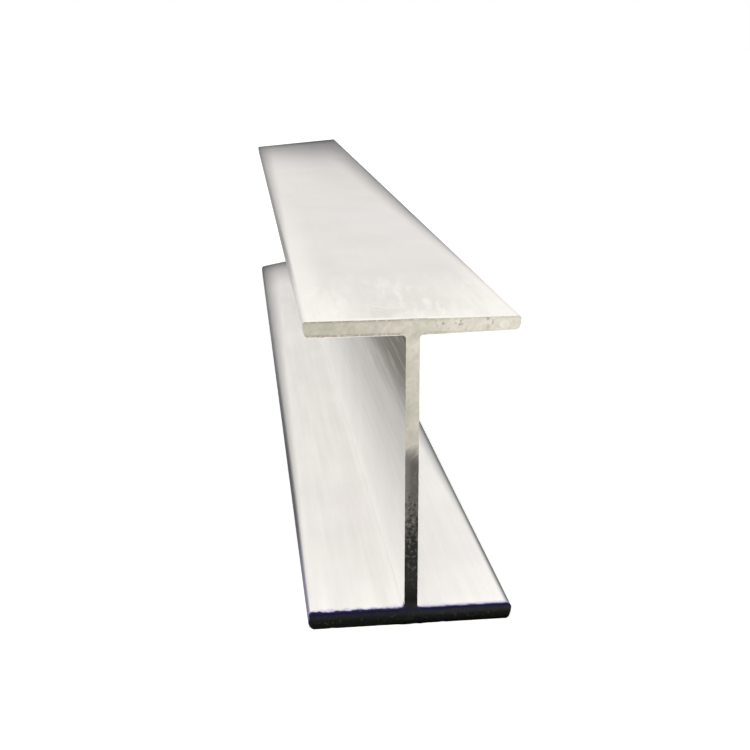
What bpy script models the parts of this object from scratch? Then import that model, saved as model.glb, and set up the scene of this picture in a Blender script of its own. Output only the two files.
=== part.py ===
"""Stainless steel H-beam: one length of stock, sawn square at one end and mitred at the other.

Metres, +Z up. The beam lies on its lower flange along Y, with its underside at Z = 0. Its
square end faces -Y, and the long edge of the mitre is at +X.
"""

import math

import bmesh
import bpy
from mathutils import Matrix, Vector

# Driving dimensions
LENGTH = 1.000
WIDTH = 0.100
HEIGHT = 0.153
FLANGE_THICKNESS = 0.008
WEB_THICKNESS = 0.0066
FLANGE_EDGE_RADIUS = 0.0015
ROOT_FILLET_RADIUS = 0.0015
MITRE_ANGLE = math.radians(45.0)

# The bar is modelled this much too long, and the mitre saw takes it off.
SAW_ALLOWANCE = 0.010

# Fineness of the rounded corners, and how near two points are one
ARC_STEPS = 8
WELD_DISTANCE = 0.00001
SHARP_ANGLE = math.radians(30.0)

STEEL_COLOUR = (0.75, 0.74, 0.71, 1.0)
STEEL_ROUGHNESS = 0.38


def clear_scene():
    for old in list(bpy.data.objects):
        bpy.data.objects.remove(old)


def new_collection(name):
    collection = bpy.data.collections.new(name)
    bpy.context.scene.collection.children.link(collection)
    return collection


def stainless_steel():
    material = bpy.data.materials.new("stainless_steel")
    material.use_nodes = True
    shader = material.node_tree.nodes["Principled BSDF"]
    shader.inputs["Base Color"].default_value = STEEL_COLOUR
    shader.inputs["Metallic"].default_value = 1.0
    shader.inputs["Roughness"].default_value = STEEL_ROUGHNESS
    return material


def section_corners():
    """The H's twelve corners anticlockwise, each with its radius: the right half, then its mirror image."""
    edge = WIDTH / 2
    web = WEB_THICKNESS / 2
    above_lower_flange = FLANGE_THICKNESS
    below_upper_flange = HEIGHT - FLANGE_THICKNESS
    right_half = [
        (edge, 0.0, FLANGE_EDGE_RADIUS),
        (edge, above_lower_flange, FLANGE_EDGE_RADIUS),
        (web, above_lower_flange, ROOT_FILLET_RADIUS),
        (web, below_upper_flange, ROOT_FILLET_RADIUS),
        (edge, below_upper_flange, FLANGE_EDGE_RADIUS),
        (edge, HEIGHT, FLANGE_EDGE_RADIUS),
    ]
    left_half = [(-x, z, radius) for x, z, radius in reversed(right_half)]
    return right_half + left_half


def quarter_arc(corner, to_last, to_next, radius):
    """Points round one right-angled corner, from the side it comes in on to the side it leaves on."""
    points = []
    for step in range(ARC_STEPS + 1):
        angle = math.pi / 2 * step / ARC_STEPS
        along_last = to_last * radius * (1.0 - math.sin(angle))
        along_next = to_next * radius * (1.0 - math.cos(angle))
        points.append(corner + along_last + along_next)
    return points


def section_outline():
    """The closed outline of the H, with round flange edges and a fillet at each root of the web."""
    corners = section_corners()
    places = [Vector((x, z)) for x, z, _ in corners]
    points = []
    for number, (_, _, radius) in enumerate(corners):
        corner = places[number]
        to_last = (places[number - 1] - corner).normalized()
        to_next = (places[(number + 1) % len(places)] - corner).normalized()
        points += quarter_arc(corner, to_last, to_next, radius)
    return points


def section_curve(collection):
    """The outline as a filled 2D curve, extruded along Y from the square end to past the mitre."""
    points = section_outline()
    curve = bpy.data.curves.new("section", "CURVE")
    curve.dimensions = "2D"
    curve.fill_mode = "BOTH"
    curve.extrude = (LENGTH + SAW_ALLOWANCE) / 2
    spline = curve.splines.new("POLY")
    spline.points.add(len(points) - 1)
    for place, point in zip(spline.points, points):
        place.co = (point.x, point.y, 0.0, 1.0)
    spline.use_cyclic_u = True

    section = bpy.data.objects.new("section", curve)
    section.location.y = SAW_ALLOWANCE / 2
    section.rotation_euler.x = math.pi / 2
    collection.objects.link(section)
    bpy.context.view_layer.update()
    return section


def is_across(face):
    """Whether the face lies across the curve's extrusion, which runs along its own Z."""
    places = [vertex.co.z for vertex in face.verts]
    return max(places) - min(places) < WELD_DISTANCE


def mesh_from_curve(section, name, collection):
    """A mesh object in the curve's place, its caps welded on and each one flat face. The curve is removed."""
    graph = bpy.context.evaluated_depsgraph_get()
    mesh = bpy.data.meshes.new_from_object(section.evaluated_get(graph))
    mesh.name = name
    bm = bmesh.new()
    bm.from_mesh(mesh)
    bmesh.ops.remove_doubles(bm, verts=bm.verts, dist=WELD_DISTANCE)
    bmesh.ops.dissolve_faces(bm, faces=[face for face in bm.faces if is_across(face)])
    bm.to_mesh(mesh)
    bm.free()
    mesh.shade_smooth()
    mesh.set_sharp_from_angle(angle=SHARP_ANGLE)

    beam = bpy.data.objects.new(name, mesh)
    beam.matrix_world = section.matrix_world
    collection.objects.link(beam)
    bpy.data.objects.remove(section)
    return beam


def mitre_waste(collection):
    """The block that the saw takes off: its face towards the beam is the mitre, seen from above."""
    across = WIDTH / math.cos(MITRE_ANGLE) + 4 * SAW_ALLOWANCE
    along = WIDTH * math.sin(MITRE_ANGLE) + 2 * SAW_ALLOWANCE
    upright = HEIGHT + 2 * SAW_ALLOWANCE
    mesh = bpy.data.meshes.new("mitre_waste")
    bm = bmesh.new()
    bmesh.ops.create_cube(bm, size=1.0, matrix=Matrix.Diagonal((across, along, upright, 1.0)))
    bm.to_mesh(mesh)
    bm.free()

    waste = bpy.data.objects.new("mitre_waste", mesh)
    mitre_centre = Vector((0.0, LENGTH / 2 - WIDTH / 2 * math.tan(MITRE_ANGLE), HEIGHT / 2))
    away_from_beam = Vector((-math.sin(MITRE_ANGLE), math.cos(MITRE_ANGLE), 0.0))
    waste.location = mitre_centre + away_from_beam * along / 2
    waste.rotation_euler.z = MITRE_ANGLE
    waste.hide_render = True
    waste.display_type = "WIRE"
    collection.objects.link(waste)
    return waste


def saw_off(beam, waste):
    cut = beam.modifiers.new("mitre", "BOOLEAN")
    cut.operation = "DIFFERENCE"
    cut.solver = "EXACT"
    cut.object = waste


def build():
    clear_scene()
    parts = new_collection("stainless_steel_h_beam")
    cutters = new_collection("cutters")
    section = section_curve(parts)
    beam = mesh_from_curve(section, "h_beam", parts)
    beam.data.materials.append(stainless_steel())
    saw_off(beam, mitre_waste(cutters))


build()
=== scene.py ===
"""Stainless steel H-beam on a white stage: a finer mesh of the beam, its materials, lights and camera.

Metres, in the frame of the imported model: the beam lies along Y with its underside at Z = 0, its
square end at -Y and the long edge of its mitre at +X.
"""

import math
import random
from collections import namedtuple

import bmesh
import bpy
import numpy as np
from mathutils import Matrix, Vector, noise
from mathutils.geometry import delaunay_2d_cdt


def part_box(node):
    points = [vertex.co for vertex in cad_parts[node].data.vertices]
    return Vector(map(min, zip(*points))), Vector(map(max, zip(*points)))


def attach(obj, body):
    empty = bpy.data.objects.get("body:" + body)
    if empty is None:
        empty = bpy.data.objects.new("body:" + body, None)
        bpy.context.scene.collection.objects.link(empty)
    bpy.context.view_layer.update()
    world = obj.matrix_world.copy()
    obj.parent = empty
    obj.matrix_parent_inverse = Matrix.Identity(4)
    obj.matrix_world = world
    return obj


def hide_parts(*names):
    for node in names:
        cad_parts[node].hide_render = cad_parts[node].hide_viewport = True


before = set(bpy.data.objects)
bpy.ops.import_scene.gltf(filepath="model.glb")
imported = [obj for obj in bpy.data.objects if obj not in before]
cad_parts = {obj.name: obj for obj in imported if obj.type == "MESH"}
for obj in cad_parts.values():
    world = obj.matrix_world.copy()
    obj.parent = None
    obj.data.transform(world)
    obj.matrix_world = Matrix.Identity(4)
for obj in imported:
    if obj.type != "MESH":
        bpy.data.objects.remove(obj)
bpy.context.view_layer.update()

# The CAD node and its box
NODE = "h_beam"
BODY = "root"
BOX_LOW, BOX_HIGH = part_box(NODE)
WIDTH = BOX_HIGH.x - BOX_LOW.x
HEIGHT = BOX_HIGH.z - BOX_LOW.z
SQUARE_END_Y = BOX_LOW.y
LONG_EDGE_Y = BOX_HIGH.y
MITRE_ANGLE = math.radians(45.0)
MITRE_CENTRE_Y = LONG_EDGE_Y - WIDTH / 2 * math.tan(MITRE_ANGLE)

# The section
FLANGE_THICKNESS = 0.008
WEB_THICKNESS = 0.0066
FLANGE_EDGE_RADIUS = 0.0015
ROOT_FILLET_RADIUS = 0.0015

# How finely the visual mesh is divided
ARC_STEPS = 8
OUTLINE_STEP = 0.0012
FIRST_RING_STEP = 0.0003
RING_STEP_GROWTH = 1.4
LAST_RING_STEP = 0.018
END_REACH = 0.12
SQUARE_CAP_STEP = 0.0006
MITRE_CAP_STEP = 0.0012
CAP_MARGIN = 0.6
CAP_JITTER = 0.22
GRID_SEED = 7
MILLIMETRE = 0.001
TRIANGULATION_TOLERANCE = 1e-6
SHARP_ANGLE = math.radians(50.0)

# Shape that the rolls, the saw and handling left
EDGE_DRAFT_UPPER = 0.0011
EDGE_DRAFT_LOWER = 0.0016
DRAFT_CURVE = 3
NOSE_DEPTH_LEFT = 0.46
NOSE_DEPTH_RIGHT = 0.18
NOSE_LEAN = 0.0007
DRAFT_REACH = 0.006
THINNING_START = 0.010
THINNING = 0.0011
WAVE_DEPTH = 0.00012
WAVE_LENGTH = 0.07
WAVE_STRETCH = 0.6
ARRIS_INSET = 0.00025
ROOT_CLEARANCE = 0.0075
ARRIS_RAGGEDNESS = 0.00030
RAGGED_LENGTH = 0.0045
FINE_RAGGED_SHARE = 2.7
BITTEN_BELOW = 1.05 * FLANGE_THICKNESS
BITE_DEPTH = 0.0009
BITE_THRESHOLD = 0.22
GROOVE_DEPTH = 0.00008
GROOVE_PITCH = 0.0011
GROOVE_LENGTH = 0.016
GROOVE_ANGLE = math.radians(56.0)
GROOVE_NOISE_DEPTH = 3.0
PIT_DEPTH = 0.00028
PIT_SIZE = 0.0014
PIT_THRESHOLD = 0.30
PIT_CENTRES = (Vector((0.0135, 0.1488)), Vector((0.0215, 0.1500)), Vector((0.0360, 0.1502)))
PIT_REACH = 0.006
PIT_NOISE_DEPTH = 5.0

# Camera
CAMERA_PLACE = Vector((-0.07653, -0.99501, 0.27190))
CAMERA_YAW = math.radians(6.819)
CAMERA_PITCH = math.radians(16.200)
CAMERA_ROLL = math.radians(-0.079)
FOCAL_PIXELS = 1142.86
IMAGE_PIXELS = 750
SENSOR_WIDTH = 36.0
NEAREST_SEEN = 0.01

# Light
WORLD_LIGHT = 0.55
BACKGROUND_WHITE = 1.0
TOP_LAMP = (Vector((-0.5, -0.6, 2.0)), 1.8, 14.0)
BACK_LAMP = (Vector((0.9, 2.6, 1.2)), 1.6, 6.0)
FLOOR_REACH = 30.0
FLOOR_DROP = 0.0002
FLOOR_COLOUR = (0.88, 0.88, 0.88, 1.0)
FLOOR_GLOW = 0.56
FLOOR_ROUGHNESS = 0.9
WHITE = (1.0, 1.0, 1.0, 1.0)


def section_corners():
    """The H's twelve corners anticlockwise, each with its radius: the right half, then its mirror image."""
    edge = WIDTH / 2
    web = WEB_THICKNESS / 2
    above_lower_flange = FLANGE_THICKNESS
    below_upper_flange = HEIGHT - FLANGE_THICKNESS
    right_half = [
        (edge, 0.0, FLANGE_EDGE_RADIUS),
        (edge, above_lower_flange, FLANGE_EDGE_RADIUS),
        (web, above_lower_flange, ROOT_FILLET_RADIUS),
        (web, below_upper_flange, ROOT_FILLET_RADIUS),
        (edge, below_upper_flange, FLANGE_EDGE_RADIUS),
        (edge, HEIGHT, FLANGE_EDGE_RADIUS),
    ]
    left_half = [(-x, z, radius) for x, z, radius in reversed(right_half)]
    return right_half + left_half


def quarter_arc(corner, to_last, to_next, radius):
    points = []
    for step in range(ARC_STEPS + 1):
        angle = math.pi / 2 * step / ARC_STEPS
        along_last = to_last * radius * (1.0 - math.sin(angle))
        along_next = to_next * radius * (1.0 - math.cos(angle))
        points.append(corner + along_last + along_next)
    return points


def divided(points, longest):
    """The closed outline with extra points, so that no step is longer than that."""
    finer = []
    for number, point in enumerate(points):
        after = points[(number + 1) % len(points)]
        parts = max(1, math.ceil((after - point).length / longest))
        finer += [point.lerp(after, part / parts) for part in range(parts)]
    return finer


def section_outline():
    corners = section_corners()
    places = [Vector((x, z)) for x, z, _ in corners]
    points = []
    for number, (_, _, radius) in enumerate(corners):
        corner = places[number]
        to_last = (places[number - 1] - corner).normalized()
        to_next = (places[(number + 1) % len(places)] - corner).normalized()
        points += quarter_arc(corner, to_last, to_next, radius)
    return divided(points, OUTLINE_STEP)


def outline_normals(points):
    """The outward direction at each point of the anticlockwise outline."""
    normals = []
    for number in range(len(points)):
        along = points[(number + 1) % len(points)] - points[number - 1]
        normals.append(Vector((along.y, -along.x)).normalized())
    return normals


def smooth_share(value, low, high):
    share = min(1.0, max(0.0, (value - low) / (high - low)))
    return share * share * (3.0 - 2.0 * share)


def lower_edge_lean(below_top, nose_depth):
    """How far the lower flange's edge stands in from its nose, which is at that share of its thickness."""
    if below_top < nose_depth:
        return NOSE_LEAN * (1.0 - below_top / nose_depth)
    return EDGE_DRAFT_LOWER * ((below_top - nose_depth) / (1.0 - nose_depth)) ** 2


def thinned(x):
    """How far the upper flange's underside rises towards its right edge."""
    return THINNING * max(0.0, (x - THINNING_START) / (WIDTH / 2 - THINNING_START))


def drafted(point):
    """The rolled flange edges lean in towards their lower corners, and the lower flange has blunt noses."""
    on_lower_flange = point.y < HEIGHT / 2
    flange_top = FLANGE_THICKNESS if on_lower_flange else HEIGHT
    below_top = min(1.0, max(0.0, (flange_top - point.y) / FLANGE_THICKNESS))
    if on_lower_flange:
        lean = lower_edge_lean(below_top, NOSE_DEPTH_LEFT if point.x < 0.0 else NOSE_DEPTH_RIGHT)
    else:
        lean = EDGE_DRAFT_UPPER * below_top ** DRAFT_CURVE
    shift = lean * smooth_share(abs(point.x), WIDTH / 2 - DRAFT_REACH, WIDTH / 2)
    rise = 0.0 if on_lower_flange else thinned(point.x) * below_top
    return Vector((point.x - math.copysign(shift, point.x), point.y + rise))


def wave(x, y, z):
    """A slow unevenness of the rolled faces, from 0 to its full depth."""
    place = Vector((x, y * WAVE_STRETCH, z)) / WAVE_LENGTH
    return WAVE_DEPTH * (0.5 + 0.5 * noise.noise(place))


def raggedness(x, z, offset):
    """How far the arris is worn back, with a bite here and there along the lower flange."""
    rough = noise.noise(Vector((x, offset, z)) / RAGGED_LENGTH)
    fine = noise.noise(Vector((x, offset, z)) / RAGGED_LENGTH * FINE_RAGGED_SHARE)
    off_root = smooth_share(abs(x), WEB_THICKNESS / 2 + ROOT_FILLET_RADIUS, ROOT_CLEARANCE)
    worn = ARRIS_INSET * off_root + ARRIS_RAGGEDNESS * max(0.0, 0.5 * rough + 0.5 * fine)
    if z < BITTEN_BELOW:
        worn += BITE_DEPTH * max(0.0, rough - BITE_THRESHOLD)
    return worn


def saw_relief(x, z):
    """Depth of the saw's slanting grooves, and of the pits on the upper flange right of the web."""
    along = x * math.cos(GROOVE_ANGLE) + z * math.sin(GROOVE_ANGLE)
    across = -x * math.sin(GROOVE_ANGLE) + z * math.cos(GROOVE_ANGLE)
    groove = noise.noise(Vector((along / GROOVE_LENGTH, across / GROOVE_PITCH, GROOVE_NOISE_DEPTH)))
    depth = GROOVE_DEPTH * (0.5 + 0.5 * groove)
    to_pits = min((Vector((x, z)) - centre).length for centre in PIT_CENTRES)
    near_pits = 1.0 - smooth_share(to_pits, 0.3 * PIT_REACH, PIT_REACH)
    pit = noise.noise(Vector((x, z, PIT_NOISE_DEPTH)) / PIT_SIZE)
    return depth + PIT_DEPTH * near_pits * max(0.0, pit - PIT_THRESHOLD) / (1.0 - PIT_THRESHOLD)


def growing_steps(reach):
    """Distances from an end, first close together and then further apart, up to that reach."""
    distances = [0.0]
    step = FIRST_RING_STEP
    while distances[-1] + step < reach:
        distances.append(distances[-1] + step)
        step = min(step * RING_STEP_GROWTH, LAST_RING_STEP)
    return distances


def mitre_y(x):
    """Where the mitred face is on a line along the beam."""
    return MITRE_CENTRE_Y + x * math.tan(MITRE_ANGLE)


def ring_places():
    """Each ring as its distance from the nearer end, and its share of the way along the middle.

    The share is 0 for the rings at the square end, and 1 for those at the mitre.
    """
    ends = growing_steps(END_REACH)
    middle_length = MITRE_CENTRE_Y - SQUARE_END_Y - 2 * ends[-1]
    middle_parts = math.ceil(middle_length / LAST_RING_STEP)
    rings = [(distance, 0.0) for distance in ends]
    rings += [(ends[-1], part / middle_parts) for part in range(1, middle_parts)]
    rings += [(distance, 1.0) for distance in reversed(ends)]
    return rings


def ring_y(x, distance, share):
    """The place along the beam of one ring on the line at that x."""
    if share == 0.0:
        return SQUARE_END_Y + distance
    if share == 1.0:
        return mitre_y(x) - distance
    start = SQUARE_END_Y + distance
    return start + (mitre_y(x) - distance - start) * share


def side_vertices(outline, normals):
    """All the rings' points in order. The first and last ring are the worn arrises of the two ends."""
    places = []
    for distance, share in ring_places():
        at_end = distance == 0.0
        for point, normal in zip(outline, normals):
            y = ring_y(point.x, distance, share)
            inset = wave(point.x, y, point.y)
            if at_end:
                inset += raggedness(point.x, point.y, share)
                relief = saw_relief(point.x, point.y)
                y += relief if share == 0.0 else -relief
            moved = drafted(point) - normal * inset
            places.append((moved.x, y, moved.y))
    return places


def side_faces(around, rings):
    """Quads from each ring to the next, facing outwards."""
    faces = []
    for ring in range(rings - 1):
        first = ring * around
        for number in range(around):
            after = (number + 1) % around
            faces.append((first + number, first + around + number, first + around + after, first + after))
    return faces


def clear_of_outline(points, outline, margin):
    """Which points lie inside the closed outline, and further from it than the margin."""
    start = np.array(outline)
    step = np.roll(start, -1, axis=0) - start
    inside = np.zeros(len(points), bool)
    nearest = np.full(len(points), np.inf)
    for (x, z), (dx, dz) in zip(start, step):
        share = ((points[:, 0] - x) * dx + (points[:, 1] - z) * dz) / (dx * dx + dz * dz)
        share = np.clip(share, 0.0, 1.0)
        gap = np.hypot(points[:, 0] - x - share * dx, points[:, 1] - z - share * dz)
        nearest = np.minimum(nearest, gap)
        if dz != 0.0:
            crosses = (points[:, 1] >= min(z, z + dz)) & (points[:, 1] < max(z, z + dz))
            crossing_x = x + (points[:, 1] - z) * dx / dz
            inside ^= crosses & (points[:, 0] < crossing_x)
    return inside & (nearest > margin)


def cap_grid(outline, step):
    """Loosely spaced points inside an end face, in staggered rows."""
    dice = random.Random(GRID_SEED)
    row_height = step * math.sqrt(3) / 2
    points = []
    for row in range(math.ceil(HEIGHT / row_height)):
        stagger = step / 2 * (row % 2)
        for column in range(math.ceil(WIDTH / step) + 1):
            x = -WIDTH / 2 + stagger + column * step + dice.uniform(-CAP_JITTER, CAP_JITTER) * step
            z = row * row_height + dice.uniform(-CAP_JITTER, CAP_JITTER) * step
            points.append((x, z))
    points = np.array(points)
    return points[clear_of_outline(points, outline, CAP_MARGIN * step)]


def cap_triangles(outline, step):
    """The grid points inside an end face, and triangles that number the outline first and then them."""
    grid = cap_grid(outline, step)
    places = [Vector(place) / MILLIMETRE for place in list(outline) + [tuple(place) for place in grid]]
    ring = [(number, (number + 1) % len(outline)) for number in range(len(outline))]
    inside_only = 1
    made = delaunay_2d_cdt(places, ring, [], inside_only, TRIANGULATION_TOLERANCE)
    corners = [origin[0] for origin in made[3]]
    triangles = [tuple(corners[number] for number in face) for face in made[2]]
    return grid, triangles


def add_cap(places, faces, first, outline_count, step, at_square_end):
    """Closes one end of the beam with a fine mesh that joins the ring starting at that vertex."""
    outline = [(x, z) for x, _, z in places[first:first + outline_count]]
    grid, triangles = cap_triangles(outline, step)
    inner = len(places)
    for x, z in grid:
        relief = saw_relief(x, z)
        y = SQUARE_END_Y + relief if at_square_end else mitre_y(x) - relief
        places.append((x, y, z))
    for triangle in triangles:
        numbers = [first + n if n < outline_count else inner + n - outline_count for n in triangle]
        faces.append(tuple(numbers) if at_square_end else tuple(reversed(numbers)))


def beam_mesh():
    """The beam as one closed mesh: rings along its length, and a fine cap on each sawn end."""
    outline = section_outline()
    normals = outline_normals(outline)
    around = len(outline)
    rings = len(ring_places())
    places = side_vertices(outline, normals)
    faces = side_faces(around, rings)
    sides = len(faces)
    add_cap(places, faces, 0, around, SQUARE_CAP_STEP, True)
    add_cap(places, faces, around * (rings - 1), around, MITRE_CAP_STEP, False)

    mesh = bpy.data.meshes.new("beam")
    mesh.from_pydata(places, [], faces)
    sawn = np.zeros(len(faces), np.int32)
    sawn[sides:] = 1
    mesh.polygons.foreach_set("material_index", sawn)
    mesh.shade_smooth()
    mesh.set_sharp_from_angle(angle=SHARP_ANGLE)
    return mesh


# Shader building

def add_node(tree, kind, **settings):
    node = tree.nodes.new(kind)
    for name, value in settings.items():
        setattr(node, name, value)
    return node


def feed(tree, socket, value):
    """Links another node's output to the socket, or sets the socket's own number or colour."""
    if isinstance(value, bpy.types.NodeSocket):
        tree.links.new(value, socket)
    else:
        socket.default_value = value


def calc(tree, operation, *values):
    node = add_node(tree, "ShaderNodeMath", operation=operation)
    for socket, value in zip(node.inputs, values):
        feed(tree, socket, value)
    return node.outputs[0]


def remap(tree, value, low, high, to_low=0.0, to_high=1.0, smooth=True):
    """The value as a share of the way from low to high, clamped, between the two results."""
    shape = "SMOOTHSTEP" if smooth else "LINEAR"
    node = add_node(tree, "ShaderNodeMapRange", interpolation_type=shape)
    figures = {"Value": value, "From Min": low, "From Max": high, "To Min": to_low, "To Max": to_high}
    for name, figure in figures.items():
        feed(tree, node.inputs[name], figure)
    return node.outputs["Result"]


def ramp(tree, value, low, high, to_low, to_high):
    """As remap, but straight from one result to the other."""
    return remap(tree, value, low, high, to_low, to_high, smooth=False)


def fall(tree, value, low, high, top=1.0):
    """From the top down to 0 as the value goes from low to high."""
    return remap(tree, value, low, high, top, 0.0)


def swing(tree, value, to_low, to_high):
    """Noise about 0.5 as a number that swings between the two results."""
    return ramp(tree, value, NOISE_LOW, NOISE_HIGH, to_low, to_high)


def all_of(tree, *masks):
    """1 only where every mask is 1."""
    result = masks[0]
    for mask in masks[1:]:
        result = calc(tree, "MULTIPLY", result, mask)
    return result


def any_of(tree, first, second):
    """1 where either mask is 1, and smooth where both are partial."""
    left = calc(tree, "MULTIPLY", calc(tree, "SUBTRACT", 1.0, first), calc(tree, "SUBTRACT", 1.0, second))
    return calc(tree, "SUBTRACT", 1.0, left)


def strongest(tree, *masks):
    result = masks[0]
    for mask in masks[1:]:
        result = calc(tree, "MAXIMUM", result, mask)
    return result


def band(tree, value, start, full, fade, end):
    """1 from full to fade, and 0 before the start and past the end."""
    return all_of(tree, remap(tree, value, start, full), fall(tree, value, fade, end))


def gap(tree, value, centre):
    """How far the value is from the centre, to either side."""
    return calc(tree, "ABSOLUTE", calc(tree, "SUBTRACT", value, centre))


def stretched(tree, vector, scale):
    node = add_node(tree, "ShaderNodeVectorMath", operation="MULTIPLY")
    feed(tree, node.inputs[0], vector)
    node.inputs[1].default_value = scale
    return node.outputs["Vector"]


def turned(tree, vector, axis, angle):
    node = add_node(tree, "ShaderNodeVectorRotate", rotation_type=axis)
    feed(tree, node.inputs["Vector"], vector)
    node.inputs["Angle"].default_value = angle
    return node.outputs["Vector"]


def speckle(tree, vector, scale, detail=3.0, distortion=0.0):
    """Soft noise about 0.5, with so many waves to the metre."""
    node = add_node(tree, "ShaderNodeTexNoise")
    feed(tree, node.inputs["Vector"], vector)
    node.inputs["Scale"].default_value = scale
    node.inputs["Detail"].default_value = detail
    node.inputs["Distortion"].default_value = distortion
    return node.outputs["Fac"]


def point_noise(tree, point, scale):
    """Noise with three independent parts, to bend other patterns with."""
    node = add_node(tree, "ShaderNodeTexNoise")
    feed(tree, node.inputs["Vector"], point)
    node.inputs["Scale"].default_value = scale
    return node.outputs["Color"]


def blended(tree, factor, first, second):
    node = add_node(tree, "ShaderNodeMix", data_type="RGBA", blend_type="MIX")
    feed(tree, node.inputs["Factor"], factor)
    feed(tree, node.inputs["A"], first)
    feed(tree, node.inputs["B"], second)
    return node.outputs["Result"]


def around_one(tree, value, spread):
    """Noise about 0.5 as a factor about 1."""
    return ramp(tree, value, 0.25, 0.75, 1.0 - spread, 1.0 + spread)


def dimmed(tree, colour, factor):
    node = add_node(tree, "ShaderNodeVectorMath", operation="SCALE")
    feed(tree, node.inputs[0], colour)
    feed(tree, node.inputs["Scale"], factor)
    return node.outputs["Vector"]


def new_metal(name):
    material = bpy.data.materials.new(name)
    material.use_nodes = True
    tree = material.node_tree
    shader = tree.nodes["Principled BSDF"]
    shader.inputs["Metallic"].default_value = 1.0
    return material, tree, shader


def beam_position(tree):
    """The point on the beam, and its x, y and z."""
    point = add_node(tree, "ShaderNodeTexCoord").outputs["Object"]
    split = add_node(tree, "ShaderNodeSeparateXYZ")
    feed(tree, split.inputs[0], point)
    return point, split.outputs[0], split.outputs[1], split.outputs[2]


def bumped(tree, height, distance):
    node = add_node(tree, "ShaderNodeBump")
    node.inputs["Strength"].default_value = 1.0
    node.inputs["Distance"].default_value = distance
    feed(tree, node.inputs["Height"], height)
    return node.outputs["Normal"]


# The range that swings of noise are taken from
NOISE_LOW = 0.3
NOISE_HIGH = 0.7

# The rolled and pickled faces
# Painted light: the inner faces are much lighter than the outer ones, to make up for the shade they lie in
INNER_LIT_WHITE = (0.962, 0.952, 0.925, 1.0)
INNER_LIT_PINK = (0.957, 0.936, 0.920, 1.0)
OUTER_WHITE = (0.663, 0.643, 0.612, 1.0)
OUTER_PINK = (0.655, 0.628, 0.608, 1.0)
# Whiter scuffs, and the painted highlight along the upper face's front arris
SCUFF_AND_HIGHLIGHT_WHITE = (0.800, 0.780, 0.742, 1.0)
# Painted shade, in from the flanges' long edges and over the far end
PAINTED_SHADE_GREY = (0.100, 0.096, 0.103, 1.0)
RIM_GREY = (0.020, 0.020, 0.021, 1.0)
# Painted shade on the flanges' edge faces
EDGE_SHADE_GREY = (0.060, 0.060, 0.066, 1.0)
EDGE_VIOLET = (0.065, 0.052, 0.160, 1.0)
# Painted shade high on the web under the upper flange, streaked with dirt
SHADE_AND_GRIME_GREY = (0.118, 0.106, 0.084, 1.0)
# Painted shade in the root under the upper flange, broken into crumbs of dirt
SHADE_AND_DIRT_BLACK = (0.030, 0.028, 0.024, 1.0)
HEAT_BLUE = (0.012, 0.011, 0.052, 1.0)
HEAT_VIOLET = (0.520, 0.460, 0.900, 1.0)
ROLLED_ROUGHNESS = (0.66, 0.76)
ROLLED_BUMP = 0.00003

# Their noises, in waves to the metre, the same all round or along each axis
CLOUD_SCALE = 9.0
PATCH_SCALE = 22.0
RAGGED_SCALE = 260.0
GRAIN_SCALE = 900.0
STREAK_STRETCH = (260.0, 9.0, 260.0)
SCRATCH_STRETCH = (700.0, 16.0, 700.0)
SCUFF_STRETCH = (170.0, 32.0, 45.0)
SCUFF_ANGLE = math.radians(5.0)
CLUSTER_STRETCH = (90.0, 36.0, 30.0)

# Spans that marks fade over, in from a face, out from the beam's middle or from the lower flange to the upper
FACE_SKIN = (0.0002, 0.0012)
EDGE_FACE_SKIN = (0.0004, 0.0014)
WEB_SKIN = (0.0040, 0.0050)
WEB_CLEARANCE = (0.0040, 0.0120)
FILLET_SKIN = (0.0052, 0.0066)
ROOT_SHADE_SKIN = (0.0042, 0.0056)
TOWARDS_SIDES = (0.010, 0.042)
SIDE_BLEND = (-0.010, 0.010)
FLANGE_BLEND = (0.05, 0.10)
FULL_BELOW_TOP = 0.004

# Bands across the section, each as its start, full strength, fade and end
FRONT_RUB_BAND = (-0.012, 0.004, 0.020, 0.034)
BESIDE_ROOT_BAND = (0.0070, 0.0075, 0.0090, 0.0100)
ROOT_SHADE_BAND = (0.1375, 0.1435, 0.1455, 0.1460)
LIT_ROOT_BAND = (0.0085, 0.0100, 0.0105, 0.0260)
LIT_FILLET_BAND = (0.0074, 0.0079, 0.0084, 0.0094)
HEATED_BAND = (0.0062, 0.0070, 0.0100, 0.0120)

# Ramps as start and end, then the results there unless 0 and 1, or the top of a ramp that falls to 0
PINK_CLOUDS = (0.38, 0.62)
SCUFF_NOISE = (0.44, 0.66)
SCUFF_STRENGTH = (0.0, 0.035, 0.90, 0.60)
SCUFFS_FADE = (0.03, 0.13)
CLUSTER_NOISE = (0.42, 0.58, 0.40, 1.0)
SMEAR_WIDTH = (0.003, 0.016, 0.36)
SMEAR_LENGTH = (0.003, 0.012)
SMEAR_NOISE = (0.40, 0.60)
CORNER_RUB_FADE = (0.0, 0.12)
CORNER_RUB_NOISE = (0.36, 0.56, 0.60, 1.0)
FRONT_RUB_FADE = (0.006, 0.024, 0.50)
ARRIS_HIGHLIGHT_FADE = (0.0010, 0.0045, 0.9)
RIM_STRENGTH = (-0.040, 0.025, 0.55, 0.95)
RIM_AT_LONG_EDGE = (0.030, 0.048, 1.0, 0.88)
RIM_REACH = (0.004, 0.045, 1.0, 0.0)
FAR_SHADE_TILT = (-0.045, 0.010, -0.018, 0.003)
FAR_SHADE_SPAN = (0.605, 1.050)
FAINT_FAR_SHADE_SPAN = (0.30, 0.58)
FAINT_FAR_SHADE_STRENGTH = (-0.040, 0.020, 0.0, 0.12)
LOWER_FAR_SHADE = (0.0, 0.10, 0.70, 0.0)
SHADE_FADE_SPAN = (0.66, 0.95)
LINE_WIDTH_SPAN = (0.0, 0.15)
VIOLET_FADE = (0.04, 0.11, 0.8)
WEB_SHADE_DROP = (0.0, 0.25, 0.0, 0.0075)
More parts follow.
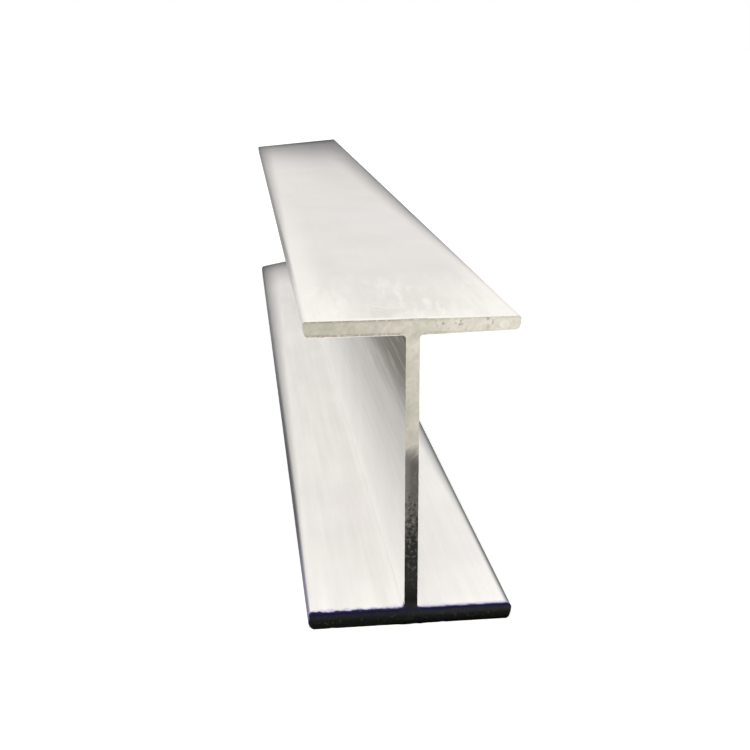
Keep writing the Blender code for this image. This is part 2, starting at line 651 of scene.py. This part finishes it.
THIN_WEB_SHADE = (0.010, 0.090, 0.10, 0.54)
THICK_WEB_SHADE = (0.0950, 0.1295, 0.0, 0.94)
GRIME_STREAKS = (0.45, 0.70, 1.0, 0.80)
GRIME_SCRATCHES = (0.55, 0.66, 1.0, 0.74)
BESIDE_ROOT = (0.0060, 0.0240, 0.045)
DIRT_NOISE = (0.42, 0.58, 0.25, 0.90)
LIT_ROOT_SPAN = (0.20, 0.50, 0.26, 0.05)
LIT_FILLET_FADE = (0.46, 0.66, 0.27)
HEATED_SIDES = (-0.012, 0.012)
VIOLET_FRINGE = (0.0030, 0.0058, 0.55)
BLUE_FRINGE = (0.0016, 0.0040)

# Pairs: the smear's x and distance, left and right of the web, or the ends of a noise's swing
SMEAR_PLACE = (-0.008, 0.026)
EDGE_RUB_WIDTH = (0.022, 0.015)
EDGE_RUB_LENGTH = (0.68, 0.24)
FAR_SHADE_WANDER = (-0.008, 0.008)
SHADE_WANDER = (0.94, 1.06)
WEB_SHADE_WANDER = (-0.004, 0.004)
HEAT_WANDER = (0.0012, 0.0004)
HEAT_SHIFT = (0.0, 0.0007)

# Spreads, powers, strengths and starts that stand alone
PATCH_SPREAD = 0.025
STREAK_SPREAD = 0.03
GRAIN_SPREAD = 0.015
EDGE_RUB_INNER = 0.004
EDGE_RUB_START = 0.05
EDGE_RUB_STRENGTH = 0.80
RIM_POWER = 2.5
RIM_ON_WEB = 0.50
LOWER_FAR_SHADE_POWER = 1.2
FAR_SHADE_ON_WEB = 0.60
SHADE_POWER = 1.5
LINE_CORE = 0.0006
LINE_NEAR_START = 0.04
LINE_FADE_START = 0.20
STREAK_RELIEF = 1.5

# Figures of the flanges' four long edges, each pair left then right, the lower flange's pair first
SHADE_REACH_NEAR = ((0.0026, 0.0016), (0.0007, 0.0012))
SHADE_REACH_FAR = ((0.0220, 0.0250), (0.0190, 0.0260))
SHADE_REACH_END = ((1.00, 0.66), (1.00, 0.66))
SHADE_FADE = ((1.00, 0.50), (1.00, 0.50))
SHADE_START = ((0.02, 0.02), (0.05, 0.05))
SHADE_FULL = ((0.22, 0.22), (0.34, 0.34))
SHADE_DARKNESS_NEAR = ((0.30, 0.25), (0.06, 0.08))
SHADE_DARKNESS_FAR = ((0.76, 0.78), (0.68, 0.78))
LINE_WIDTH_NEAR = ((0.0018, 0.0035), (0.0024, 0.0030))
LINE_WIDTH_FAR = ((0.0032, 0.0037), (0.0027, 0.0038))
LINE_DARKNESS_NEAR = ((0.75, 0.92), (0.10, 0.12))
LINE_NEAR_END = ((0.11, 0.18), (0.18, 0.18))
LINE_DARKNESS_MIDDLE = ((0.95, 0.76), (0.52, 0.36))
LINE_DARKNESS_FAR = ((0.55, 0.70), (0.16, 0.56))
LINE_FADE_END = ((0.60, 0.60), (0.34, 0.60))

Place = namedtuple("Place", "point x z aside from_edge from_square_end from_mitre")
Patterns = namedtuple("Patterns", "patch streaks scratches grain ragged")


def rolled_place(tree):
    """Where a point is on the rolled faces, and how far it is from the long edges and the ends."""
    point, x, y, z = beam_position(tree)
    aside = calc(tree, "ABSOLUTE", x)
    from_edge = calc(tree, "SUBTRACT", WIDTH / 2, aside)
    from_square_end = calc(tree, "SUBTRACT", y, SQUARE_END_Y)
    ahead = calc(tree, "SUBTRACT", calc(tree, "ADD", x, MITRE_CENTRE_Y), y)
    from_mitre = calc(tree, "MULTIPLY", ahead, math.cos(MITRE_ANGLE))
    return Place(point, x, z, aside, from_edge, from_square_end, from_mitre)


def rolled_patterns(tree, point):
    """The noises that several marks share."""
    patch = speckle(tree, point, PATCH_SCALE, detail=2.0)
    streaks = speckle(tree, stretched(tree, point, STREAK_STRETCH), 1.0, detail=3.0)
    scratches = speckle(tree, stretched(tree, point, SCRATCH_STRETCH), 1.0, detail=2.0, distortion=0.4)
    grain = speckle(tree, point, GRAIN_SCALE, detail=2.0)
    ragged = speckle(tree, point, RAGGED_SCALE, detail=3.0)
    return Patterns(patch, streaks, scratches, grain, ragged)


def left_to_right(tree, x, left, right):
    """One result on the left of the web and the other on its right."""
    return remap(tree, x, *SIDE_BLEND, left, right)


def upper_face(tree, place):
    return remap(tree, place.z, HEIGHT - FACE_SKIN[1], HEIGHT - FACE_SKIN[0])


def on_web(tree, place):
    return fall(tree, place.aside, *WEB_SKIN)


def off_web(tree, place, least):
    """The least strength on the web, and 1 beside it and all over the upper flange."""
    beside = remap(tree, place.aside, *WEB_CLEARANCE, least, 1.0)
    return strongest(tree, beside, remap(tree, place.z, HEIGHT - FLANGE_THICKNESS, HEIGHT - FULL_BELOW_TOP))


def pickled_colour(tree, place, patterns):
    """Off-white with faint pink clouds, mottling and streaks. The inner faces are painted much lighter than
    the outer, as painted light against the shade they lie in.
    """
    pink = remap(tree, speckle(tree, place.point, CLOUD_SCALE, detail=2.0), *PINK_CLOUDS)
    below = fall(tree, place.z, *FACE_SKIN)
    beside = fall(tree, place.from_edge, *EDGE_FACE_SKIN)
    outside = strongest(tree, upper_face(tree, place), below, beside)
    inner = blended(tree, pink, INNER_LIT_WHITE, INNER_LIT_PINK)
    outer = blended(tree, pink, OUTER_WHITE, OUTER_PINK)
    colour = blended(tree, outside, inner, outer)
    colour = dimmed(tree, colour, around_one(tree, patterns.patch, PATCH_SPREAD))
    colour = dimmed(tree, colour, around_one(tree, patterns.streaks, STREAK_SPREAD))
    return dimmed(tree, colour, around_one(tree, patterns.grain, GRAIN_SPREAD))


def front_scuffs(tree, place, ragged):
    """Short faint scuffs in clusters on the upper face behind the square end, and one smear."""
    slanting = turned(tree, place.point, "Z_AXIS", SCUFF_ANGLE)
    strokes = speckle(tree, stretched(tree, slanting, SCUFF_STRETCH), 1.0, distortion=0.25)
    strength = remap(tree, place.from_square_end, *SCUFF_STRENGTH)
    fading = fall(tree, place.from_square_end, *SCUFFS_FADE)
    clusters = speckle(tree, stretched(tree, place.point, CLUSTER_STRETCH), 1.0, detail=1.0)
    clusters = remap(tree, clusters, *CLUSTER_NOISE)
    marks = all_of(tree, remap(tree, strokes, *SCUFF_NOISE), strength, fading, clusters)
    across = fall(tree, gap(tree, place.x, SMEAR_PLACE[0]), *SMEAR_WIDTH)
    along = fall(tree, gap(tree, place.from_square_end, SMEAR_PLACE[1]), *SMEAR_LENGTH)
    return any_of(tree, marks, all_of(tree, across, along, remap(tree, ragged, *SMEAR_NOISE)))


def rubbed_edges(tree, place, streaks):
    """The upper face rubbed whiter towards its front corners and along its edges."""
    to_side = remap(tree, place.aside, *TOWARDS_SIDES)
    near_end = fall(tree, place.from_square_end, *CORNER_RUB_FADE)
    broken = remap(tree, streaks, *CORNER_RUB_NOISE)
    width = left_to_right(tree, place.x, *EDGE_RUB_WIDTH)
    length = left_to_right(tree, place.x, *EDGE_RUB_LENGTH)
    fading = ramp(tree, place.from_square_end, EDGE_RUB_START, length, 1.0, 0.0)
    along_edge = fall(tree, place.from_edge, EDGE_RUB_INNER, width, EDGE_RUB_STRENGTH)
    along_edge = all_of(tree, along_edge, fading, fading)
    return strongest(tree, all_of(tree, to_side, near_end, broken), along_edge)


def scuffs(tree, place, patterns):
    """Everything that rubbing left on the upper face, and a painted highlight along its front arris."""
    at_front = all_of(tree, band(tree, place.x, *FRONT_RUB_BAND),
                      fall(tree, place.from_square_end, *FRONT_RUB_FADE))
    marks = any_of(tree, front_scuffs(tree, place, patterns.ragged), at_front)
    rubbed = any_of(tree, marks, rubbed_edges(tree, place, patterns.streaks))
    # A painted highlight along the front arris
    arris = fall(tree, place.from_square_end, *ARRIS_HIGHLIGHT_FADE)
    return all_of(tree, upper_face(tree, place), any_of(tree, rubbed, arris))


def far_rim(tree, place):
    """The last centimetres before the mitre, darker towards its longer edge."""
    strength = remap(tree, place.x, *RIM_STRENGTH)
    at_long_edge = remap(tree, place.x, *RIM_AT_LONG_EDGE)
    near = calc(tree, "POWER", ramp(tree, place.from_mitre, *RIM_REACH), RIM_POWER)
    return all_of(tree, strength, at_long_edge, off_web(tree, place, RIM_ON_WEB), near)


def far_painted_shade(tree, place, patch):
    """Painted shade: dull grey over the upper flange's far third, and only close to the mitre on the lower
    flange.
    """
    tilt = ramp(tree, place.x, *FAR_SHADE_TILT)
    wander = calc(tree, "ADD", swing(tree, patch, *FAR_SHADE_WANDER), tilt)
    heavy = remap(tree, calc(tree, "ADD", place.from_square_end, wander), *FAR_SHADE_SPAN)
    faint_strength = remap(tree, place.x, *FAINT_FAR_SHADE_STRENGTH)
    faint = ramp(tree, place.from_square_end, *FAINT_FAR_SHADE_SPAN, 0.0, faint_strength)
    lower = calc(tree, "POWER", ramp(tree, place.from_mitre, *LOWER_FAR_SHADE), LOWER_FAR_SHADE_POWER)
    strength = ramp(tree, place.z, 0.0, HEIGHT, lower, any_of(tree, heavy, faint))
    return all_of(tree, strength, off_web(tree, place, FAR_SHADE_ON_WEB))


def nearest_edge(tree, place):
    """0 to 1 from the left edges to the right ones, and from the lower flange to the upper."""
    return left_to_right(tree, place.x, 0.0, 1.0), remap(tree, place.z, *FLANGE_BLEND)


def by_edge(tree, edge, figures):
    """The one of the four figures that is for the long edge nearest to the point."""
    right, upper = edge
    low, high = (ramp(tree, right, 0.0, 1.0, *pair) for pair in figures)
    return ramp(tree, upper, 0.0, 1.0, low, high)


def edge_painted_shade(tree, place, edge, patch):
    """Painted grey shade in from the flanges' long edges, widest at the far end of the mitre's longer edge.
    """
    along = place.from_square_end
    reach_near = by_edge(tree, edge, SHADE_REACH_NEAR)
    reach_end = by_edge(tree, edge, SHADE_REACH_END)
    reach_far = by_edge(tree, edge, SHADE_REACH_FAR)
    reach = ramp(tree, along, 0.0, reach_end, reach_near, reach_far)
    reach = calc(tree, "MULTIPLY", reach, swing(tree, patch, *SHADE_WANDER))
    start = by_edge(tree, edge, SHADE_START)
    full = by_edge(tree, edge, SHADE_FULL)
    darkness_near = by_edge(tree, edge, SHADE_DARKNESS_NEAR)
    darkness_far = by_edge(tree, edge, SHADE_DARKNESS_FAR)
    darkness = remap(tree, along, start, full, darkness_near, darkness_far)
    near = calc(tree, "POWER", ramp(tree, place.from_edge, 0.0, reach, 1.0, 0.0), SHADE_POWER)
    fading = remap(tree, along, *SHADE_FADE_SPAN, 1.0, by_edge(tree, edge, SHADE_FADE))
    return all_of(tree, near, darkness, fading)


def edge_shade_line(tree, place, edge):
    """Painted shade on the dark edge faces, darker on the lower flange, and on the upper one fading out
    towards the front.
    """
    along = place.from_square_end
    width_near = by_edge(tree, edge, LINE_WIDTH_NEAR)
    width_far = by_edge(tree, edge, LINE_WIDTH_FAR)
    width = ramp(tree, along, *LINE_WIDTH_SPAN, width_near, width_far)
    on_edge = fall(tree, place.from_edge, LINE_CORE, width)
    near = by_edge(tree, edge, LINE_DARKNESS_NEAR)
    middle = by_edge(tree, edge, LINE_DARKNESS_MIDDLE)
    far = by_edge(tree, edge, LINE_DARKNESS_FAR)
    further = remap(tree, along, LINE_FADE_START, by_edge(tree, edge, LINE_FADE_END), middle, far)
    darkness = remap(tree, along, LINE_NEAR_START, by_edge(tree, edge, LINE_NEAR_END), near, further)
    return all_of(tree, on_edge, darkness)


def edge_colour(tree, place):
    """Dark grey of the painted edge shade, turning violet over the last stretch of the left edge before the
    square end.
    """
    at_left = left_to_right(tree, place.x, 1.0, 0.0)
    violet = all_of(tree, at_left, fall(tree, place.from_square_end, *VIOLET_FADE))
    return blended(tree, violet, EDGE_SHADE_GREY, EDGE_VIOLET)


def web_shade_and_grime(tree, place, patterns):
    """Painted shade high on the web, where the upper flange overhangs it, streaked with dirt, and a thin
    painted greyness lower down and beside the web's foot.
    """
    under_flange = fall(tree, place.z, HEIGHT - FLANGE_THICKNESS, HEIGHT - 0.5 * FLANGE_THICKNESS)
    height = calc(tree, "ADD", place.z, swing(tree, patterns.streaks, *WEB_SHADE_WANDER))
    height = calc(tree, "ADD", height, ramp(tree, place.from_square_end, *WEB_SHADE_DROP))
    thin = ramp(tree, height, *THIN_WEB_SHADE)
    thick = remap(tree, height, *THICK_WEB_SHADE)
    streaky = remap(tree, patterns.streaks, *GRIME_STREAKS)
    scratched = remap(tree, patterns.scratches, *GRIME_SCRATCHES)
    shade_and_grime = any_of(tree, thin, all_of(tree, thick, streaky, scratched))
    shade_and_grime = all_of(tree, on_web(tree, place), under_flange, shade_and_grime)
    beside = fall(tree, place.aside, *BESIDE_ROOT)
    return any_of(tree, shade_and_grime, all_of(tree, beside, band(tree, place.z, *BESIDE_ROOT_BAND)))


def root_shade_and_dirt(tree, place, ragged):
    """Painted shade in the root under the upper flange, broken into dark crumbs of dirt."""
    near_web = fall(tree, place.aside, *ROOT_SHADE_SKIN)
    crumbs = remap(tree, ragged, *DIRT_NOISE)
    return all_of(tree, near_web, band(tree, place.z, *ROOT_SHADE_BAND), crumbs)


def root_painted_light(tree, place):
    """Painted light on the lower root of the web, and above all in its fillet, lifting them out of their
    shade.
    """
    above = all_of(tree, on_web(tree, place), band(tree, place.z, *LIT_ROOT_BAND))
    above = all_of(tree, above, remap(tree, place.from_square_end, *LIT_ROOT_SPAN))
    fillet = all_of(tree, fall(tree, place.aside, *FILLET_SKIN), band(tree, place.z, *LIT_FILLET_BAND))
    fillet = all_of(tree, fillet, fall(tree, place.from_square_end, *LIT_FILLET_FADE))
    return strongest(tree, above, fillet)


def heated(tree, colour, place, ragged):
    """A dark blue band on the lower flange's upper face at the square end, with a violet fringe behind it."""
    on_face = band(tree, place.z, *HEATED_BAND)
    spread = remap(tree, place.x, *HEATED_SIDES, *HEAT_WANDER)
    wander = calc(tree, "MULTIPLY", swing(tree, ragged, -1.0, 1.0), spread)
    back = calc(tree, "ADD", place.from_square_end, wander)
    back = calc(tree, "ADD", back, remap(tree, place.x, *HEATED_SIDES, *HEAT_SHIFT))
    fringe = all_of(tree, on_face, fall(tree, back, *VIOLET_FRINGE))
    colour = blended(tree, fringe, colour, HEAT_VIOLET)
    return blended(tree, all_of(tree, on_face, fall(tree, back, *BLUE_FRINGE)), colour, HEAT_BLUE)


def rolled_colour(tree, place, patterns):
    """The pickled colour, with wear, a painted highlight, painted shade, painted light, dirt and heat marks
    laid over it in turn.
    """
    edge = nearest_edge(tree, place)
    layers = (
        (scuffs(tree, place, patterns), SCUFF_AND_HIGHLIGHT_WHITE),
        (edge_painted_shade(tree, place, edge, patterns.patch), PAINTED_SHADE_GREY),
        (far_painted_shade(tree, place, patterns.patch), PAINTED_SHADE_GREY),
        (far_rim(tree, place), RIM_GREY),
        (web_shade_and_grime(tree, place, patterns), SHADE_AND_GRIME_GREY),
        (root_shade_and_dirt(tree, place, patterns.ragged), SHADE_AND_DIRT_BLACK),
        (root_painted_light(tree, place), INNER_LIT_WHITE),
        (edge_shade_line(tree, place, edge), edge_colour(tree, place)),
    )
    colour = pickled_colour(tree, place, patterns)
    for mask, layer in layers:
        colour = blended(tree, mask, colour, layer)
    return heated(tree, colour, place, patterns.ragged)


def rolled_steel():
    """Pickled off-white steel: faint mottling and streaks, painted shade along the edges and over the far
    end.
    """
    material, tree, shader = new_metal("rolled_steel")
    place = rolled_place(tree)
    patterns = rolled_patterns(tree, place.point)
    feed(tree, shader.inputs["Base Color"], rolled_colour(tree, place, patterns))
    feed(tree, shader.inputs["Roughness"], swing(tree, patterns.streaks, *ROLLED_ROUGHNESS))
    height = calc(tree, "ADD", patterns.grain, calc(tree, "MULTIPLY", patterns.streaks, STREAK_RELIEF))
    feed(tree, shader.inputs["Normal"], bumped(tree, height, ROLLED_BUMP))
    return material


# The sawn end faces
SAWN_DULL = (0.490, 0.460, 0.385, 1.0)
SAWN_BRIGHT = (0.700, 0.665, 0.582, 1.0)
SAWN_GREEN = (0.505, 0.505, 0.405, 1.0)
SAWN_PINK = (0.600, 0.545, 0.485, 1.0)
# Painted shade over the lower half of the square end, with its film and foot
END_SHADE_GREY = (0.112, 0.106, 0.095, 1.0)
END_SHADE_PALE = (0.178, 0.170, 0.152, 1.0)
END_SHADE_BLACK = (0.0075, 0.0085, 0.0075, 1.0)
END_SHADE_FILM = (0.034, 0.034, 0.031, 1.0)
END_SHADE_FOOT = (0.0010, 0.0010, 0.0010, 1.0)
STAIN_SPECK = (0.150, 0.145, 0.125, 1.0)
STAIN_OLIVE = (0.024, 0.027, 0.018, 1.0)
PIT_BROWN = (0.180, 0.128, 0.095, 1.0)
SAWN_ROUGHNESS = (0.45, 0.60)
SAWN_BUMP = 0.00008

# Their noises, in waves to the metre, and how far the saw strokes wander
STROKE_STRETCH = (130.0, 1.0, 760.0)
STROKE_BEND_SCALE = 90.0
STROKE_BEND = 0.004
GREEN_SCALE = 60.0
PINK_SCALE = 110.0
MOTTLE_SCALE = 190.0
PIT_SPOT_SCALE = 430.0
STAIN_SPOT_SCALE = 480.0
FINE_SCALE = 520.0

# Bands up the end faces, each as its start, full strength, fade and end
ARRIS_DIRT_BAND = (0.1440, 0.1448, 0.1460, 0.1470)
FILM_BAND = (0.0033, 0.0062, 0.0100, 0.0140)
OLIVE_BAND = (0.0010, 0.0040, 0.0100, 0.0140)
HEAT_TINT_BAND = (0.0050, 0.0086, 0.0085, 0.0100)

# Ramps, written as those of the rolled faces are
SQUARE_END_SKIN = (SQUARE_END_Y + 0.01, SQUARE_END_Y + 0.02)
PIT_NOISE = (0.54, 0.66)
PIT_SPOT_REACH = (0.2 * PIT_REACH, 0.8 * PIT_REACH)
PAST_WEB = (0.0040, 0.0060)
UPPER_ARRIS = (0.1512, 0.1524)
ARRIS_DIRT_STRENGTH = (-0.015, 0.020, 0.45, 0.20)
ARRIS_DIRT_NOISE = (0.38, 0.56)
SAWN_SIDES = (-0.045, 0.045)
GREEN_CLOUDS = (0.48, 0.66, 0.0, 0.5)
SAWN_PINK_CLOUDS = (0.55, 0.70, 0.0, 0.6)
SAWN_SHADE = (0.090, 0.143, 0.79, 1.0)
GREY_FADE = (0.0825, 0.0938)
PALE_SIDE = (-0.0026, 0.0004, 0.85)
PALE_START = (0.040, 0.058)
END_SHADE_FADE = (0.040, 0.070, 0.84)
BLACK_FADE = (0.009, 0.026)
FILM_STRENGTH = (-0.010, 0.015, 0.35, 0.62)
FOOT_FADE = (0.0012, 0.0030)
FOOT_STRENGTH = (-0.020, 0.010, 0.35, 0.85)
SPECK_NOISE = (0.52, 0.68)
PALE_SPECKS_START = (0.012, 0.050, 0.0, 0.7)
PALE_SPECKS_FADE = (0.078, 0.090)

# Swings of noise, in metres
GREY_WANDER = (-0.0015, 0.0015)
END_SHADE_WANDER = (-0.018, 0.018)
HEAT_TINT_WANDER = (-0.0010, 0.0010)

# Spreads and strengths that stand alone
PIT_STRENGTH = 0.50
STROKE_SPREAD = 0.11
FINE_SPREAD = 0.07
MOTTLE_SPREAD = 0.10
HEAT_TINT_STRENGTH = 0.5
FINE_RELIEF = 0.4


def slanting_strokes(tree, point):
    """Noise drawn out along the slant of the saw's grooves."""
    bent = add_node(tree, "ShaderNodeVectorMath", operation="ADD")
    feed(tree, bent.inputs[0], turned(tree, point, "Y_AXIS", GROOVE_ANGLE))
    feed(tree, bent.inputs[1], dimmed(tree, point_noise(tree, point, STROKE_BEND_SCALE), STROKE_BEND))
    return speckle(tree, stretched(tree, bent.outputs["Vector"], STROKE_STRETCH), 1.0, detail=4.0)


def pitted(tree, point, x, z):
    """Brown pits in three clusters on the end of the upper flange, right of the web."""
    spots = speckle(tree, point, PIT_SPOT_SCALE, detail=2.0)
    near = 0.0
    for centre in PIT_CENTRES:
        to_centre = strongest(tree, gap(tree, x, centre.x), gap(tree, z, centre.y))
        near = strongest(tree, near, fall(tree, to_centre, *PIT_SPOT_REACH))
    return all_of(tree, near, remap(tree, spots, *PIT_NOISE), PIT_STRENGTH)


def dirty_arris(tree, x, z, fine):
    """Broken brown dirt along the upper flange's arrises, most of it on the left."""
    past_web = remap(tree, calc(tree, "ABSOLUTE", x), *PAST_WEB)
    lower = all_of(tree, band(tree, z, *ARRIS_DIRT_BAND), past_web)
    upper = remap(tree, z, *UPPER_ARRIS)
    to_left = remap(tree, x, *ARRIS_DIRT_STRENGTH)
    return all_of(tree, strongest(tree, lower, upper), to_left, remap(tree, fine, *ARRIS_DIRT_NOISE))


def sawn_colour(tree, point, x, z, strokes, fine):
    """Khaki grey, duller to the left, with greenish and pinkish clouds, saw strokes, dirt and pits."""
    green = remap(tree, speckle(tree, point, GREEN_SCALE, detail=2.0), *GREEN_CLOUDS)
    pink = remap(tree, speckle(tree, point, PINK_SCALE, detail=2.0), *SAWN_PINK_CLOUDS)
    colour = blended(tree, remap(tree, x, *SAWN_SIDES), SAWN_DULL, SAWN_BRIGHT)
    colour = blended(tree, green, colour, SAWN_GREEN)
    colour = blended(tree, pink, colour, SAWN_PINK)
    mottle = speckle(tree, point, MOTTLE_SCALE, detail=2.0)
    for value, spread in ((strokes, STROKE_SPREAD), (fine, FINE_SPREAD), (mottle, MOTTLE_SPREAD)):
        colour = dimmed(tree, colour, around_one(tree, value, spread))
    colour = dimmed(tree, colour, ramp(tree, z, *SAWN_SHADE))
    marks = strongest(tree, pitted(tree, point, x, z), dirty_arris(tree, x, z, fine))
    return blended(tree, marks, colour, PIT_BROWN)


def painted_end_shade(tree, colour, here, x, z, fine, strokes):
    """Painted shade: the lower half of the square end goes mottled grey, paler on its left, and then nearly
    black.
    """
    ragged = calc(tree, "ADD", z, swing(tree, strokes, *GREY_WANDER))
    grey = all_of(tree, here, fall(tree, ragged, *GREY_FADE))
    pale = all_of(tree, grey, fall(tree, x, *PALE_SIDE), remap(tree, z, *PALE_START))
    mottled = calc(tree, "ADD", z, swing(tree, fine, *END_SHADE_WANDER))
    dark_shade = any_of(tree, fall(tree, mottled, *END_SHADE_FADE), fall(tree, z, *BLACK_FADE))
    colour = blended(tree, grey, colour, END_SHADE_GREY)
    colour = blended(tree, pale, colour, END_SHADE_PALE)
    return blended(tree, all_of(tree, here, dark_shade), colour, END_SHADE_BLACK)


def flecked(tree, colour, here, x, z, spots):
    """Over the painted shade, a greyer film and a black foot on the lower flange, and olive and pale specks.
    """
    film = all_of(tree, here, band(tree, z, *FILM_BAND), remap(tree, x, *FILM_STRENGTH))
    colour = blended(tree, film, colour, END_SHADE_FILM)
    foot = all_of(tree, here, fall(tree, z, *FOOT_FADE), remap(tree, x, *FOOT_STRENGTH))
    colour = blended(tree, foot, colour, END_SHADE_FOOT)
    specks = all_of(tree, here, remap(tree, spots, *SPECK_NOISE))
    colour = blended(tree, all_of(tree, specks, band(tree, z, *OLIVE_BAND)), colour, STAIN_OLIVE)
    pale = all_of(tree, specks, remap(tree, z, *PALE_SPECKS_START), fall(tree, z, *PALE_SPECKS_FADE))
    return blended(tree, pale, colour, STAIN_SPECK)


def heat_tint(tree, colour, here, z, fine):
    """Dark blue along the upper arris of the lower flange's square end."""
    ragged = calc(tree, "ADD", z, swing(tree, fine, *HEAT_TINT_WANDER))
    blue = all_of(tree, here, band(tree, ragged, *HEAT_TINT_BAND), HEAT_TINT_STRENGTH)
    return blended(tree, blue, colour, HEAT_BLUE)


def sawn_steel():
    """The end faces: slanting saw marks on khaki grey, with dark painted shade low down on the square end."""
    material, tree, shader = new_metal("sawn_steel")
    point, x, y, z = beam_position(tree)
    strokes = slanting_strokes(tree, point)
    fine = speckle(tree, point, FINE_SCALE, detail=4.0)
    spots = speckle(tree, point, STAIN_SPOT_SCALE, detail=2.0)
    at_square_end = fall(tree, y, *SQUARE_END_SKIN)
    colour = sawn_colour(tree, point, x, z, strokes, fine)
    colour = painted_end_shade(tree, colour, at_square_end, x, z, fine, strokes)
    colour = flecked(tree, colour, at_square_end, x, z, spots)
    colour = heat_tint(tree, colour, at_square_end, z, fine)
    feed(tree, shader.inputs["Base Color"], colour)

    feed(tree, shader.inputs["Roughness"], swing(tree, strokes, *SAWN_ROUGHNESS))
    height = calc(tree, "ADD", strokes, calc(tree, "MULTIPLY", fine, FINE_RELIEF))
    feed(tree, shader.inputs["Normal"], bumped(tree, height, SAWN_BUMP))
    return material


def make_beam():
    beam = bpy.data.objects.new("beam", beam_mesh())
    bpy.context.scene.collection.objects.link(beam)
    beam.data.materials.append(rolled_steel())
    beam.data.materials.append(sawn_steel())
    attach(beam, BODY)
    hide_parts(NODE)


# The stage

def seen_directly(tree):
    """1 for camera, glossy and transmission rays, which see the plain white background."""
    path = add_node(tree, "ShaderNodeLightPath")
    kinds = ("Is Camera Ray", "Is Glossy Ray", "Is Transmission Ray")
    return strongest(tree, *(path.outputs[kind] for kind in kinds))


def make_world():
    world = bpy.data.worlds.new("white_studio")
    world.use_nodes = True
    tree = world.node_tree
    background = tree.nodes["Background"]
    background.inputs["Color"].default_value = WHITE
    strength = remap(tree, seen_directly(tree), 0.0, 1.0, WORLD_LIGHT, BACKGROUND_WHITE)
    feed(tree, background.inputs["Strength"], strength)
    bpy.context.scene.world = world


def floor_material():
    """Pale floor that keeps the beam's shadow, and glows enough to be white where nothing shades it."""
    material = bpy.data.materials.new("white_floor")
    material.use_nodes = True
    tree = material.node_tree
    shader = tree.nodes["Principled BSDF"]
    shader.inputs["Base Color"].default_value = FLOOR_COLOUR
    shader.inputs["Roughness"].default_value = FLOOR_ROUGHNESS
    shader.inputs["Specular IOR Level"].default_value = 0.0
    shader.inputs["Emission Color"].default_value = WHITE
    feed(tree, shader.inputs["Emission Strength"], calc(tree, "MULTIPLY", seen_directly(tree), FLOOR_GLOW))
    return material


def make_floor():
    mesh = bpy.data.meshes.new("floor")
    bm = bmesh.new()
    bmesh.ops.create_grid(bm, x_segments=4, y_segments=4, size=FLOOR_REACH)
    bm.to_mesh(mesh)
    bm.free()
    floor = bpy.data.objects.new("floor", mesh)
    floor.location.z = -FLOOR_DROP
    bpy.context.scene.collection.objects.link(floor)
    mesh.materials.append(floor_material())


def make_lamp(name, place, size, power):
    """A square softbox at that place, turned to the middle of the beam."""
    light = bpy.data.lights.new(name, "AREA")
    light.shape = "SQUARE"
    light.size = size
    light.energy = power
    lamp = bpy.data.objects.new(name, light)
    lamp.location = place
    lamp.rotation_euler = place.to_track_quat("Z", "Y").to_euler()
    bpy.context.scene.collection.objects.link(lamp)


def make_camera():
    data = bpy.data.cameras.new("camera")
    data.sensor_width = SENSOR_WIDTH
    data.lens = SENSOR_WIDTH * FOCAL_PIXELS / IMAGE_PIXELS
    data.clip_start = NEAREST_SEEN
    camera = bpy.data.objects.new("camera", data)
    turn = Matrix.Rotation(-CAMERA_YAW, 4, "Z") @ Matrix.Rotation(math.pi / 2 - CAMERA_PITCH, 4, "X")
    camera.matrix_world = Matrix.Translation(CAMERA_PLACE) @ turn @ Matrix.Rotation(CAMERA_ROLL, 4, "Z")
    bpy.context.scene.collection.objects.link(camera)
    bpy.context.scene.camera = camera


bpy.context.scene.view_settings.view_transform = "Standard"
make_camera()
make_beam()
make_world()
make_floor()
make_lamp("top_softbox", *TOP_LAMP)
make_lamp("back_softbox", *BACK_LAMP)
